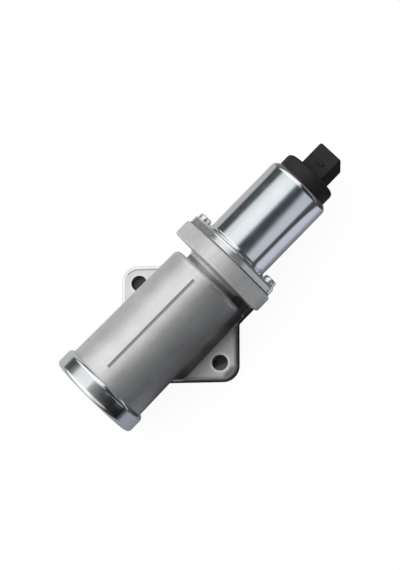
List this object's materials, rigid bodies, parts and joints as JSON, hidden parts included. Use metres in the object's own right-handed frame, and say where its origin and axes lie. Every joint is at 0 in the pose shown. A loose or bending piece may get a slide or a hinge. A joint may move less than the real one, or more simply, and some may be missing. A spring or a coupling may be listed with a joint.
{
  "type": "idle air control valve",
  "caption": "Idle air control valve: cast body with mounting ears, crimped end cap, solenoid with a plug socket, and a sprung valve that slides inside.",
  "frame": {"origin": "midway between the two bolt holes, on the mounting face", "axes": "+X along the valve axis from the end cap to the plug socket, +Z away from the mounting face"},
  "size_m": [0.1472, 0.067, 0.0444],
  "materials": {
    "cast_aluminium": "sand-smooth die casting, matt grey",
    "turned_aluminium": "turned",
    "plated_steel": "bright plated, drawn sheet",
    "zinc_steel": "zinc plated",
    "bare_steel": "ground",
    "spring_steel": "drawn wire",
    "bronze": "sintered",
    "brass": "drawn",
    "winding_copper": "enamelled wire",
    "rubber": "moulded",
    "gasket_fibre": "pressed fibre sheet",
    "black_plastic": "glass-filled moulding",
    "bobbin_plastic": "natural moulding",
    "tinned_brass": "tin plated"
  },
  "bodies": {
    "valve_body": {"valve_housing": "cast_aluminium", "guide_plug": "turned_aluminium", "end_cap": "plated_steel", "solenoid_can": "plated_steel", "solenoid_plate": "zinc_steel", "plate_screws": "zinc_steel", "pole_piece": "bare_steel", "flux_washer": "bare_steel", "return_spring": "spring_steel", "lower_bush": "bronze", "pole_bush": "bronze", "seat_ring": "brass", "guide_sleeve": "brass", "stop_shim": "brass", "coil_winding": "winding_copper", "coil_bobbin": "bobbin_plastic", "end_cap_seal": "rubber", "base_gasket": "rubber", "flange_gasket": "gasket_fibre", "connector_housing": "black_plastic", "terminal_pins": "tinned_brass"},
    "plunger": {"armature": "bare_steel", "valve_rod": "bare_steel", "valve_poppet": "turned_aluminium", "poppet_facing": "rubber", "rod_clips": "spring_steel", "spring_cup": "bare_steel"}
  },
  "joints": [
    {"name": "valve_slide", "type": "slide", "parent": "valve_body", "child": "plunger", "axis": [-1, 0, 0], "range_m": [0, 0.0055], "stiffness_N_per_m": 300, "springref_m": -0.015, "deforming": ["return_spring"]}
  ]
}
